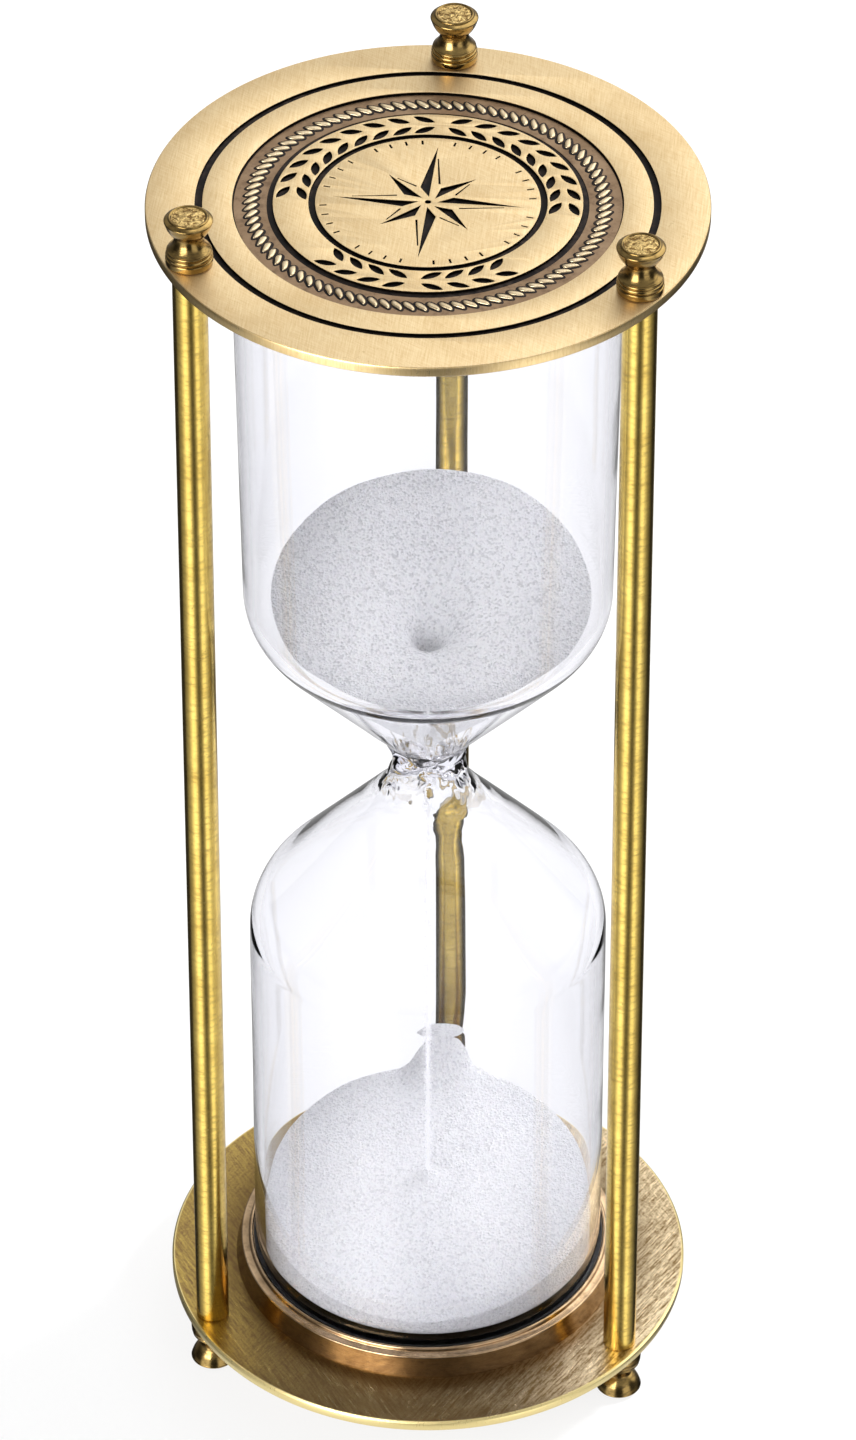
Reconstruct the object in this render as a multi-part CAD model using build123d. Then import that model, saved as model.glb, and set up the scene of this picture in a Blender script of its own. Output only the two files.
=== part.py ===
from build123d import *
import math
import os

# An hourglass: two engraved brass plates held apart by three brass pillars, with a blown
# glass vessel between them. Millimetres, +Z up. The origin is the centre of the circle of
# feet, on the surface that the hourglass stands on. The back pillar is towards +Y.

# ---- driving dimensions ----

plate_diameter = 96.0
plate_thickness = 2.0
plate_edge_break = 0.4
plate_pitch = 238.3            # upper face of the bottom plate to upper face of the top plate

pillar_diameter = 6.0
pillar_bore = 3.4
pillar_circle_radius = 43.8
pillar_angles = {"back": 90.0, "front_left": 210.0, "front_right": 330.0}

tie_rod_diameter = 3.0
tie_rod_grip = 7.2             # how far a tie rod screws into each finial
thread_clearance = 0.05        # on the radius

finial_height = 9.4
finial_base_radius = 4.05
finial_rings_height = 3.0      # the ringed part at the foot of the finial's bell
finial_neck_radius = 2.4
finial_neck_height = 5.3
finial_cap_radius = 4.17
finial_cap_edge_height = 8.6   # the widest ring of the cap
finial_lip_radius = 3.3        # the raised lip round the dish on the cap
finial_dish_depth = 0.2
finial_hole_depth = 7.6

pad_radius = 25.0
pad_thickness = 1.0

lower_bulb_radius = 32.3
upper_bulb_shoulder_radius = 32.5
upper_bulb_end_radius = 33.7
glass_wall = 1.8
glass_end_wall = 2.5
glass_end_rounding = 6.0
shoulder_rounding = 11.8
cone_angle = 40.6              # between the waist's cones and the vertical axis
neck_radius = 6.5
neck_rounding = 10.7
neck_above_plate = 117.9       # waist centre above the bottom plate
throat_radius = 0.9
throat_half_length = 5.0
throat_rounding = 3.0
fill_hole_radius = 1.8

ring_bore_clearance = 0.35     # between the glass and the ring around it, on the radius
ring_radial_width = 3.25
ring_wall_height = 4.2
ring_lip_height = 5.0
ring_lip_width = 0.85
ring_edge_break = 0.3
gasket_height = 4.5
soft_gap = 0.1                 # clearance round the gaskets
sand_gap = 0.15                # clearance between the sand and the glass

lower_sand_wall_height = 16.5  # sand surface above the bottom plate, at the glass
lower_sand_peak_height = 18.5
upper_sand_level = 146.5       # middle of the upper sand's surface, above the bottom plate
upper_sand_bowl_depth = 6.0
upper_sand_tilt = 14.0         # degrees: the surface is higher towards the back
stream_radius = 0.5

# ---- engraving, cut into the outward face of each plate ----

engraving_depth = 0.6
circle_grooves = {38.9: 1.3, 19.7: 1.15}     # radius: width
rope_band_inner = 26.3
rope_band_outer = 33.2
rope_bead_inner = 28.5
rope_bead_outer = 31.6
rope_bead_height = 0.45
rose_long_tip = 16.4
rose_short_tip = 10.6
rose_valley = 4.6
rose_hub = 1.5
leaf_length = 4.1
leaf_width = 1.5
leaf_tilt = 27.0               # between a leaf and the branch it grows on
leaf_step = 10.2               # degrees round the plate between pairs of leaves
leaf_gap = 7.5                 # degrees from the middle of a branch to its first leaves
leaf_branch_radius = 23.2
leaf_row_offset = 1.6
branches = {90.0: 9, 270.0: 4}     # degrees round the plate: pairs of leaves on each side

# ---- levels worked out from the dimensions ----

bottom_plate_low = finial_height
bottom_plate_top = bottom_plate_low + plate_thickness
top_plate_top = bottom_plate_top + plate_pitch
top_plate_low = top_plate_top - plate_thickness
glass_low = bottom_plate_top + pad_thickness
glass_top = top_plate_low - pad_thickness
neck_level = bottom_plate_top + neck_above_plate
throat_top = neck_level + throat_half_length

cone_slope = math.tan(math.radians(cone_angle))
half_cone = math.radians(cone_angle) / 2


def polar(radius, degrees):
    """A point at this radius and angle round the vertical axis."""
    angle = math.radians(degrees)
    return (radius * math.cos(angle), radius * math.sin(angle))


def turned(outline):
    """A solid of revolution about Z from a closed outline of (radius, height) edges."""
    return revolve(make_face(Plane.XZ * outline), Axis.Z)


def disc(radius, low, height):
    """A round solid about Z whose lower face is at the height low."""
    return Pos(0, 0, low) * Cylinder(radius, height, align=(Align.CENTER, Align.CENTER, Align.MIN))


def annulus(inner, outer, low, height):
    """A flat ring about Z."""
    return disc(outer, low, height) - disc(inner, low, height)


# ---- plates ----

def leaf(radius, degrees, tilt):
    """A pointed leaf outline on the branch, as two arcs."""
    half = leaf_length / 2
    bulge = leaf_width / 2
    sides = ThreePointArc((-half, 0), (0, bulge), (half, 0))
    sides += ThreePointArc((half, 0), (0, -bulge), (-half, 0))
    x, y = polar(radius, degrees)
    return Pos(x, y) * Rot(0, 0, degrees + 90 + tilt) * make_face(sides)


def branch_leaves(middle, pairs):
    """Pairs of leaves along one branch, growing away from its middle."""
    leaves = []
    for side in (-1, 1):
        for index in range(pairs):
            angle = middle + side * (leaf_gap + index * leaf_step)
            leaves.append(leaf(leaf_branch_radius + leaf_row_offset, angle, -side * leaf_tilt))
            leaves.append(leaf(leaf_branch_radius - leaf_row_offset, angle, side * leaf_tilt))
    return leaves


def compass_rose():
    """The dark half of each of the eight points of a compass rose."""
    halves = []
    for point in range(8):
        angle = 45.0 * point
        tip = rose_long_tip if point % 2 == 0 else rose_short_tip
        corners = (polar(rose_hub, angle), polar(tip, angle), polar(rose_valley, angle + 22.5))
        halves.append(make_face(Polyline(*corners, close=True)))
    return halves


def engraved_plate():
    """A plate with its engraved face up and its plain face at z = 0."""
    plate = disc(plate_diameter / 2, 0, plate_thickness)
    plate = chamfer(plate.edges().filter_by(GeomType.CIRCLE), plate_edge_break)
    floor = plate_thickness - engraving_depth
    cuts = [disc(pillar_bore / 2, 0, plate_thickness)]
    cuts = [Pos(*polar(pillar_circle_radius, angle), 0) * cuts[0] for angle in pillar_angles.values()]
    for radius, width in circle_grooves.items():
        cuts.append(annulus(radius - width / 2, radius + width / 2, floor, engraving_depth))
    cuts.append(annulus(rope_band_inner, rope_band_outer, floor, engraving_depth))
    shapes = compass_rose()
    for middle, pairs in branches.items():
        shapes += branch_leaves(middle, pairs)
    for shape in shapes:
        cuts.append(Pos(0, 0, floor) * extrude(shape, engraving_depth, dir=(0, 0, 1)))
    plate -= cuts
    return plate + annulus(rope_bead_inner, rope_bead_outer, floor, rope_bead_height)


# ---- pillars, tie rods and finials ----

def pillar(angle):
    """A brass tube between the plates."""
    tube = annulus(pillar_bore / 2, pillar_diameter / 2, bottom_plate_top, top_plate_low - bottom_plate_top)
    return Pos(*polar(pillar_circle_radius, angle), 0) * tube


def tie_rod(angle):
    """A steel rod through a pillar and both plates, screwed into a finial at each end."""
    low = bottom_plate_low - tie_rod_grip
    high = top_plate_top + tie_rod_grip
    rod = disc(tie_rod_diameter / 2, low, high - low)
    rod = chamfer(rod.edges().filter_by(GeomType.CIRCLE), tie_rod_diameter / 8)
    return Pos(*polar(pillar_circle_radius, angle), 0) * rod


def finial():
    """A turned nut: ringed bell, waist and a cup-shaped cap with a dished top, standing on z = 0."""
    hole = tie_rod_diameter / 2 + thread_clearance
    base = finial_base_radius
    rings = finial_rings_height
    neck, neck_top = finial_neck_radius, finial_neck_height + 0.25
    cap, edge = finial_cap_radius, finial_cap_edge_height
    lip, top = finial_lip_radius, finial_height
    dish = top - finial_dish_depth
    outline = Polyline(
        (hole, 0), (base - 0.35, 0), (base, 0.4), (base, 1.3), (base - 0.2, 1.45),
        (base - 0.1, 1.6), (base - 0.15, 2.2), (base - 0.35, 2.35), (base - 0.25, 2.5), (base - 0.35, rings),
    )
    outline += ThreePointArc((base - 0.35, rings), (neck + 0.45, 4.1), (neck, finial_neck_height))
    outline += Line((neck, finial_neck_height), (neck, neck_top))
    outline += ThreePointArc((neck, neck_top), (cap - 0.72, 6.75), (cap - 0.07, edge - 0.2))
    outline += ThreePointArc((cap - 0.07, edge - 0.2), (cap, edge), (cap - 0.17, edge + 0.25))
    outline += Polyline((cap - 0.17, edge + 0.25), (lip + 0.2, top - 0.35), (lip + 0.12, top - 0.1), (lip, top))
    outline += Polyline((lip, top), (lip - 0.25, top), (lip - 0.45, dish))
    outline += ThreePointArc((lip - 0.45, dish), (2.0, dish + 0.13), (1.0, top))
    outline += Polyline((1.0, top), (0, top), (0, finial_hole_depth), (hole, finial_hole_depth), (hole, 0))
    return turned(outline)


def top_finial(angle):
    """A finial standing on the top plate."""
    return Pos(*polar(pillar_circle_radius, angle), top_plate_top) * finial()


def bottom_finial(angle):
    """A finial hanging under the bottom plate, as a foot."""
    return Pos(*polar(pillar_circle_radius, angle), bottom_plate_low) * Rot(180, 0, 0) * finial()


# ---- glass ----

def glass_outside():
    """Outline of the outside of the vessel, from the lower end to the upper end."""
    apex = neck_radius - neck_rounding * (1 / math.cos(2 * half_cone) - 1)
    lower_shoulder = neck_level - (lower_bulb_radius - apex) / cone_slope
    upper_shoulder = neck_level + (upper_bulb_shoulder_radius - apex) / cone_slope
    corners = [
        (0, glass_low), (lower_bulb_radius, glass_low), (lower_bulb_radius, lower_shoulder),
        (apex, neck_level), (upper_bulb_shoulder_radius, upper_shoulder),
        (upper_bulb_end_radius, glass_top), (0, glass_top),
    ]
    rounding = [glass_end_rounding, shoulder_rounding, neck_rounding, shoulder_rounding, glass_end_rounding]
    return corners, rounding, lower_shoulder, upper_shoulder


def cavity_outline(gap):
    """Outline of the inside of the vessel, drawn in by a gap."""
    _, _, lower_shoulder, upper_shoulder = glass_outside()
    wall = glass_wall + gap
    end = glass_end_wall + gap
    throat = throat_radius - gap
    shift = wall * math.tan(half_cone)
    corners = [
        (0, glass_low + end), (lower_bulb_radius - wall, glass_low + end),
        (lower_bulb_radius - wall, lower_shoulder - shift), (throat, neck_level - throat_half_length),
        (throat, throat_top), (upper_bulb_shoulder_radius - wall, upper_shoulder + shift),
        (upper_bulb_end_radius - wall, glass_top - end), (0, glass_top - end),
    ]
    end_rounding = glass_end_rounding - glass_wall
    inner_shoulder = shoulder_rounding - glass_wall
    rounding = [end_rounding, inner_shoulder, throat_rounding, throat_rounding, inner_shoulder, end_rounding]
    return corners, rounding


def turned_vessel(corners, rounding):
    """A solid of revolution from rounded corners that start and end on the axis."""
    outline = FilletPolyline(*corners, radius=rounding)
    return turned(outline + Line(corners[-1], corners[0]))


def cavity(gap):
    """The space inside the vessel, drawn in by a gap."""
    return turned_vessel(*cavity_outline(gap))


def glass_vessel():
    """One blown vessel with two bulbs, a thick waist and a filling hole in its lower end."""
    corners, rounding, _, _ = glass_outside()
    fill_hole = disc(fill_hole_radius, glass_low, glass_end_wall)
    return turned_vessel(corners, rounding) - cavity(0) - fill_hole


def fill_stopper():
    """The plug in the filling hole, flush with the glass inside and outside."""
    return disc(fill_hole_radius - thread_clearance, glass_low, glass_end_wall)


# ---- seats of the glass, drawn upwards from a plate at z = 0 ----

def glass_ring(glass_radius):
    """The brass ring round the end of the glass, stepped up to an inner lip."""
    bore = glass_radius + ring_bore_clearance
    outer = bore + ring_radial_width
    step = bore + ring_lip_width
    outline = Polyline(
        (bore, 0), (outer, 0), (outer, ring_wall_height - ring_edge_break),
        (outer - ring_edge_break, ring_wall_height), (step, ring_wall_height),
        (step, ring_lip_height - ring_edge_break), (step - ring_edge_break, ring_lip_height),
        (bore, ring_lip_height), (bore, 0),
    )
    return turned(outline)


def gasket(glass_radius):
    """The rubber ring between the brass ring, the plate and the rounded end of the glass."""
    outer = glass_radius + ring_bore_clearance - soft_gap
    rounding = glass_end_rounding + soft_gap
    centre_radius = glass_radius - glass_end_rounding
    centre_height = pad_thickness + glass_end_rounding
    start = math.asin((centre_height - gasket_height) / rounding)
    end = math.pi / 2

    def on_arc(angle):
        return (centre_radius + rounding * math.cos(angle), centre_height - rounding * math.sin(angle))

    outline = ThreePointArc(on_arc(start), on_arc((start + end) / 2), on_arc(end))
    outline += Polyline(
        on_arc(end), (centre_radius, 0), (outer, 0), (outer, gasket_height), on_arc(start),
    )
    return turned(outline)


def cushion_pad():
    """The felt disc that the end of the glass rests on."""
    return disc(pad_radius, 0, pad_thickness)


def at_bottom(piece):
    """Moves a seat piece onto the bottom plate."""
    return Pos(0, 0, bottom_plate_top) * piece


def at_top(piece):
    """Turns a seat piece over and moves it under the top plate."""
    return Pos(0, 0, top_plate_low) * Rot(180, 0, 0) * piece


# ---- sand ----

def lower_sand():
    """The heap in the lower bulb, a low cone."""
    wall_level = bottom_plate_top + lower_sand_wall_height
    peak_level = bottom_plate_top + lower_sand_peak_height
    rim = lower_bulb_radius
    cover = Polyline((0, peak_level), (rim, wall_level), (rim, neck_level), (0, neck_level), (0, peak_level))
    heap = cavity(sand_gap) - turned(cover)
    return heap - disc(2 * rim, neck_level, top_plate_top)


def upper_sand():
    """The sand left in the upper bulb, hollowed above the throat and higher at the back."""
    rim = 2 * upper_bulb_end_radius
    rise = upper_sand_bowl_depth * rim / upper_bulb_end_radius
    high = top_plate_top - neck_level
    cover = Polyline((0, 0), (rim, rise), (rim, high), (0, high), (0, 0))
    scoop = Pos(0, 0, bottom_plate_top + upper_sand_level) * Rot(upper_sand_tilt, 0, 0) * turned(cover)
    sand = cavity(sand_gap) - scoop
    return sand - disc(rim, 0, throat_top)


def sand_stream():
    """The thread of sand that falls through the throat onto the heap."""
    low = bottom_plate_top + lower_sand_peak_height + sand_gap
    return disc(stream_radius, low, throat_top - sand_gap - low)


# ---- the assembly ----

def assembly():
    """Every piece by the name of its node."""
    plate = engraved_plate()
    nodes = {
        "top_plate": Pos(0, 0, top_plate_low) * plate,
        "bottom_plate": Pos(0, 0, bottom_plate_top) * Rot(0, 180, 0) * plate,
        "bottom_glass_ring": at_bottom(glass_ring(lower_bulb_radius)),
        "top_glass_ring": at_top(glass_ring(upper_bulb_end_radius)),
        "bottom_gasket": at_bottom(gasket(lower_bulb_radius)),
        "top_gasket": at_top(gasket(upper_bulb_end_radius)),
        "bottom_cushion_pad": at_bottom(cushion_pad()),
        "top_cushion_pad": at_top(cushion_pad()),
        "glass_vessel": glass_vessel(),
        "fill_stopper": fill_stopper(),
        "upper_sand": upper_sand(),
        "sand_stream": sand_stream(),
        "lower_sand": lower_sand(),
    }
    for side, angle in pillar_angles.items():
        nodes["pillar_" + side] = pillar(angle)
        nodes["tie_rod_" + side] = tie_rod(angle)
        nodes["top_finial_" + side] = top_finial(angle)
        nodes["bottom_finial_" + side] = bottom_finial(angle)
    return nodes


os.makedirs("parts", exist_ok=True)
for name, piece in assembly().items():
    export_step(piece, "parts/" + name + ".step")
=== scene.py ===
import bmesh
import bpy
import math
import random
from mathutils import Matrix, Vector, noise


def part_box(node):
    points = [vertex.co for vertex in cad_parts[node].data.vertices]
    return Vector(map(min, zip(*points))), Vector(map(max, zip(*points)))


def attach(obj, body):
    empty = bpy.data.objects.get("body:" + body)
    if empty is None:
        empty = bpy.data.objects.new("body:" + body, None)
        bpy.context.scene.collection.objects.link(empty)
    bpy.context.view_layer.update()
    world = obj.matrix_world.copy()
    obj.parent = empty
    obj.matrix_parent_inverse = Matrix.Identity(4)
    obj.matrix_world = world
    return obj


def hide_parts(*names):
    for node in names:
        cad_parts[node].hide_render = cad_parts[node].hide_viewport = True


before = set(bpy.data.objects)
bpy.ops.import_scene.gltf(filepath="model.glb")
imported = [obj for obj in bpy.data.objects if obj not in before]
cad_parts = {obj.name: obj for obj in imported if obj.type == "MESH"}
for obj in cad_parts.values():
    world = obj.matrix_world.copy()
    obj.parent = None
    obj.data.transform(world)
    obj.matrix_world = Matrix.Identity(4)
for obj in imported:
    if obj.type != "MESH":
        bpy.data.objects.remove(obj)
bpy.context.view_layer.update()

# ---- places, in metres, from the frame ----

MM = 0.001
SIDES = ("back", "front_left", "front_right")


def middle(node):
    """The centre of a node's box seen from above."""
    low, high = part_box(node)
    return ((low[0] + high[0]) / 2, (low[1] + high[1]) / 2)


def levels(node):
    """The lowest and the highest level of a node."""
    low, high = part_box(node)
    return low[2], high[2]


plate_low, plate_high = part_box("top_plate")
plate_radius = (plate_high[0] - plate_low[0]) / 2
top_plate_low, top_plate_top = levels("top_plate")
bottom_plate_low, bottom_plate_top = levels("bottom_plate")
glass_low, glass_top = levels("glass_vessel")
pillar_centres = {side: middle("pillar_" + side) for side in SIDES}

# ---- sizes, in millimetres, and counts ----

plate_thickness = 2.0
engraving_depth = 0.6
engraved_edge = 0.05           # softening of the edges of the engraving
plate_edge = 0.3
face_radius = 47.8             # edge of the engraved sheet
seat_radius = 47.0             # inner side of the rim
filling_radius = 46.9
filling_thickness = 0.05
circle_grooves = {38.9: 1.3, 19.7: 1.15}    # radius: width
rope_recess = (26.3, 33.2)
rope_bed = (27.35, 32.95)
rope_radius = 30.05
rope_links = 92
rope_link_tilt = 55.0          # degrees between a link and the direction of the border
rope_link_size = (2.9, 1.05)   # length and width
rope_shade_size = (3.75, 2.0)  # the black that shows round a link
rope_link_curl = 0.14          # depth of a link's S-shaped bend
rope_link_swell = 0.22         # share by which one end of a link is broader
rope_bed_thickness = 0.1
leaf_length = 4.1
leaf_width = 1.5
leaf_step = 10.2               # degrees round the plate between pairs of leaves
leaf_gap = 7.5                 # degrees from the middle of a branch to its first leaves
leaf_tilt = 27.0
leaf_branch_radius = 23.2
leaf_row_offset = 1.6
branches = {90.0: 9, 270.0: 4}     # degrees round the plate: pairs of leaves on each side
rose_long_point = 16.4
rose_short_point = 10.6
rose_valley = 4.6
rose_inner = 1.5
rose_centre_radius = 0.55
rose_line_run = (0.28, 0.9)    # start and end of a bright half's line, in shares
rose_line_widths = (0.2, 0.36)
rose_ticks = (17.2, 18.4)
rose_tick_count = 40
rose_tick_half_widths = (0.6, 0.55)    # degrees, at the inner and the outer end

pillar_radius = 3.0
pillar_bore = 1.7
pillar_edge = 0.2
pillar_rings = 60
finial_height = 9.4
finial_base = 4.05
finial_neck = 2.4
finial_cap = 4.17
finial_cap_edge = 8.6          # height of the cap's widest place
finial_lip = 3.3
finial_dish = 2.86
finial_bore = 1.6
finial_bore_depth = 7.7

glass_length = (glass_top - glass_low) / MM
neck_height = 116.9            # the waist, above the lower end of the glass
lower_radius = 32.3
upper_shoulder_radius = 32.5
upper_end_radius = 33.7
glass_wall = 1.8
glass_end_wall = 2.5
glass_end_rounding = 6.0
shoulder_rounding = 11.8
cone_angle = math.radians(40.6)
neck_radius = 6.5
neck_rounding = 10.7
throat_radius = 0.9            # the channel that the sand runs through
throat_half_length = 5.0
funnel_rounding = 3.0
glass_throat = ((4.2, -3.6), (1.2, -0.8), (1.2, 0.8), (4.2, 3.6))   # (radius, height above the waist)
glass_throat_rounding = 1.0
fill_hole_radius = 1.8
glass_mesh_step = 1.6
sand_gap = 0.12
upper_sand_level = 146.4       # above the lower end of the glass
lower_sand_level = 15.2
stream_grains = 5200
stream_width = 0.24            # spread of the grains at the throat
stream_widening = 0.3          # its growth until the grains land
stream_limits = (0.78, 1.6)    # farthest grain in the throat and below it
grain_sizes = (0.07, 0.15)

pad_thickness = 1.0
ring_clearance = 0.35          # between the ring's bore and the glass
ring_wall = 3.25
ring_bead = 0.4                # radius of the bead on the ring's inner edge
gasket_gap = 0.1               # between the gasket and the glass


# ---- outlines ----

def arc(centre, radius, start, end, steps):
    """Points on an arc, angles in degrees."""
    points = []
    for index in range(steps + 1):
        angle = math.radians(start + (end - start) * index / steps)
        points.append((centre[0] + radius * math.cos(angle), centre[1] + radius * math.sin(angle)))
    return points


def bow(start, through, end, steps):
    """Points on the arc through three points."""
    ax, ay = start
    bx, by = through
    cx, cy = end
    d = 2 * (ax * (by - cy) + bx * (cy - ay) + cx * (ay - by))
    a2, b2, c2 = ax * ax + ay * ay, bx * bx + by * by, cx * cx + cy * cy
    ux = (a2 * (by - cy) + b2 * (cy - ay) + c2 * (ay - by)) / d
    uy = (a2 * (cx - bx) + b2 * (ax - cx) + c2 * (bx - ax)) / d
    first = math.atan2(ay - uy, ax - ux)
    between = (math.atan2(by - uy, bx - ux) - first) % math.tau
    whole = (math.atan2(cy - uy, cx - ux) - first) % math.tau
    if between > whole:
        whole -= math.tau
    degrees = math.degrees(first)
    return arc((ux, uy), math.hypot(ax - ux, ay - uy), degrees, degrees + math.degrees(whole), steps)


def rounded(corners, radii, steps):
    """An open outline with its corners rounded by arcs."""
    points = [corners[0]]
    for before, corner, after, radius in zip(corners, corners[1:], corners[2:], radii):
        here = Vector(corner)
        back = (Vector(before) - here).normalized()
        ahead = (Vector(after) - here).normalized()
        half = back.angle(ahead) / 2
        reach = radius / math.tan(half)
        centre = here + (back + ahead).normalized() * radius / math.sin(half)
        through = centre + (here - centre).normalized() * radius
        points += bow(here + back * reach, through, here + ahead * reach, steps)
    points.append(corners[-1])
    return points


def subdivided(points, longest):
    """The same outline with no run longer than this."""
    finer = [points[0]]
    for a, b in zip(points, points[1:]):
        count = max(1, math.ceil(math.dist(a, b) / longest))
        for index in range(1, count + 1):
            share = index / count
            finer.append((a[0] + (b[0] - a[0]) * share, a[1] + (b[1] - a[1]) * share))
    return finer


# ---- meshes ----

def placed(name, data):
    """A new object in the scene."""
    holder = bpy.data.objects.new(name, data)
    bpy.context.scene.collection.objects.link(holder)
    return holder


def new_object(name, mesh, material, sharp_angle=35.0):
    """An object with smooth shading that stays crisp at sharp edges."""
    piece = placed(name, mesh)
    mesh.materials.append(material)
    mesh.shade_smooth()
    mesh.set_sharp_from_angle(angle=math.radians(sharp_angle))
    return piece


def finished(piece, node):
    """Hangs a piece under the root body and hides the CAD node that it stands in for."""
    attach(piece, "root")
    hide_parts(node)
    return piece


def merge_corners(mesh, outwards):
    """Joins vertices in one place and, if asked, turns the normals outwards."""
    shape = bmesh.new()
    shape.from_mesh(mesh)
    bmesh.ops.remove_doubles(shape, verts=shape.verts, dist=1e-7)
    if outwards:
        bmesh.ops.recalc_face_normals(shape, faces=shape.faces)
    shape.to_mesh(mesh)
    shape.free()


def mesh_from(name, vertices, faces):
    """A mesh in metres from vertices in millimetres."""
    mesh = bpy.data.meshes.new(name)
    mesh.from_pydata([(x * MM, y * MM, z * MM) for x, y, z in vertices], [], faces)
    merge_corners(mesh, outwards=True)
    return mesh


def turned(name, outline, material, centre=(0, 0), level=0.0, flip=False, segments=192,
           warp=None, sharp=35.0):
    """A closed outline of (radius, height), in millimetres, turned about a vertical axis."""
    vertices = []
    sign = -1 if flip else 1
    for radius, height in outline:
        for index in range(segments):
            angle = math.tau * index / segments
            x, y, z = radius * math.cos(angle), radius * math.sin(angle), sign * height
            if warp:
                x, y, z = warp(x, y, z)
            vertices.append((x + centre[0] / MM, y + centre[1] / MM, z + level / MM))
    faces = []
    rows = len(outline)
    for row in range(rows):
        following = (row + 1) % rows
        if outline[row][0] == 0 and outline[following][0] == 0:
            continue
        for index in range(segments):
            side = (index + 1) % segments
            faces.append((
                row * segments + index, row * segments + side,
                following * segments + side, following * segments + index,
            ))
    return new_object(name, mesh_from(name, vertices, faces), material, sharp)


def filled_sheet(name, loops, low, high, edge, material, flip=False):
    """A flat sheet with softened edges from nested closed loops: every second one is a hole."""
    curve = bpy.data.curves.new(name + "_outline", "CURVE")
    curve.dimensions = "2D"
    curve.fill_mode = "BOTH"
    curve.extrude = (high - low) / 2 - edge
    curve.bevel_depth = edge
    curve.bevel_resolution = 2
    curve.offset = -edge
    for loop in loops:
        spline = curve.splines.new("POLY")
        spline.points.add(len(loop) - 1)
        for point, (x, y) in zip(spline.points, loop):
            point.co = (-x if flip else x, y, 0, 1)
        spline.use_cyclic_u = True
    holder = placed(name + "_outline", curve)
    graph = bpy.context.evaluated_depsgraph_get()
    mesh = bpy.data.meshes.new_from_object(holder.evaluated_get(graph))
    bpy.data.objects.remove(holder)
    bpy.data.curves.remove(curve)
    height = (high + low) / 2 * (-1 if flip else 1)
    for vertex in mesh.vertices:
        x, y, z = vertex.co
        vertex.co = (x * MM, y * MM, (height + z) * MM)
    mesh.materials.clear()
    merge_corners(mesh, outwards=False)
    return new_object(name, mesh, material, 25.0)


# ---- materials ----

THREADS_PER_METRE = 2000


class Nodes:
    """A short way to write a material's nodes."""

    def __init__(self, name):
        self.material = bpy.data.materials.new(name)
        self.material.use_nodes = True
        self.tree = self.material.node_tree
        self.shader = self.tree.nodes["Principled BSDF"]
        self.coordinates = self.add("ShaderNodeTexCoord").outputs["Object"]

    def add(self, kind, **settings):
        node = self.tree.nodes.new(kind)
        for key, value in settings.items():
            setattr(node, key, value)
        return node

    def join(self, source, target):
        self.tree.links.new(source, target)

    def stretched(self, scale, turn=0.0):
        """Object coordinates turned about Z and scaled along each axis."""
        mapping = self.add("ShaderNodeMapping", vector_type="TEXTURE")
        mapping.inputs["Rotation"].default_value = (0, 0, math.radians(turn))
        mapping.inputs["Scale"].default_value = [1 / value for value in scale]
        self.join(self.coordinates, mapping.inputs["Vector"])
        return mapping.outputs["Vector"]

    def noise(self, scale, detail=3.0, vector=None, roughness=0.5, distortion=0.0):
        node = self.add("ShaderNodeTexNoise")
        node.inputs["Scale"].default_value = scale
        node.inputs["Detail"].default_value = detail
        node.inputs["Roughness"].default_value = roughness
        node.inputs["Distortion"].default_value = distortion
        self.join(vector or self.coordinates, node.inputs["Vector"])
        return node.outputs["Fac"]

    def spread(self, value, low, high, to_low=0.0, to_high=1.0):
        """Maps a range of a value to another range, clamped."""
        node = self.add("ShaderNodeMapRange")
        for key, number in zip(("From Min", "From Max", "To Min", "To Max"), (low, high, to_low, to_high)):
            node.inputs[key].default_value = number
        self.join(value, node.inputs["Value"])
        return node.outputs["Result"]

    def mix(self, factor, first, second, blend="MIX"):
        """Mixes two colours, each a tuple or a socket."""
        node = self.add("ShaderNodeMix", data_type="RGBA", blend_type=blend)
        if isinstance(factor, float):
            node.inputs["Factor"].default_value = factor
        else:
            self.join(factor, node.inputs["Factor"])
        for key, colour in (("A", first), ("B", second)):
            socket = [s for s in node.inputs if s.name == key and s.type == "RGBA"][0]
            if isinstance(colour, tuple):
                socket.default_value = (*colour, 1.0)
            else:
                self.join(colour, socket)
        return [s for s in node.outputs if s.type == "RGBA"][0]

    def math(self, operation, first, second=0.5):
        node = self.add("ShaderNodeMath", operation=operation)
        for socket, value in zip(node.inputs, (first, second)):
            if isinstance(value, (int, float)):
                socket.default_value = value
            else:
                self.join(value, socket)
        return node.outputs["Value"]

    def grey(self, value):
        """A value as a colour."""
        node = self.add("ShaderNodeCombineColor")
        for channel in ("Red", "Green", "Blue"):
            self.join(value, node.inputs[channel])
        return node.outputs["Color"]

    def axis(self, name):
        """A point's X, Y or Z, in metres."""
        node = self.add("ShaderNodeSeparateXYZ")
        self.join(self.coordinates, node.inputs["Vector"])
        return node.outputs[name]

    def bump(self, value, strength, distance, below=None):
        node = self.add("ShaderNodeBump")
        node.inputs["Strength"].default_value = strength
        node.inputs["Distance"].default_value = distance
        self.join(value, node.inputs["Height"])
        if below:
            self.join(below, node.inputs["Normal"])
        return node.outputs["Normal"]

    def finish(self, colour, roughness, normal, **fixed):
        self.join(colour, self.shader.inputs["Base Color"])
        self.join(roughness, self.shader.inputs["Roughness"])
        self.join(normal, self.shader.inputs["Normal"])
        for key, value in fixed.items():
            self.shader.inputs[key.replace("_", " ")].default_value = value
        return self.material


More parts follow.
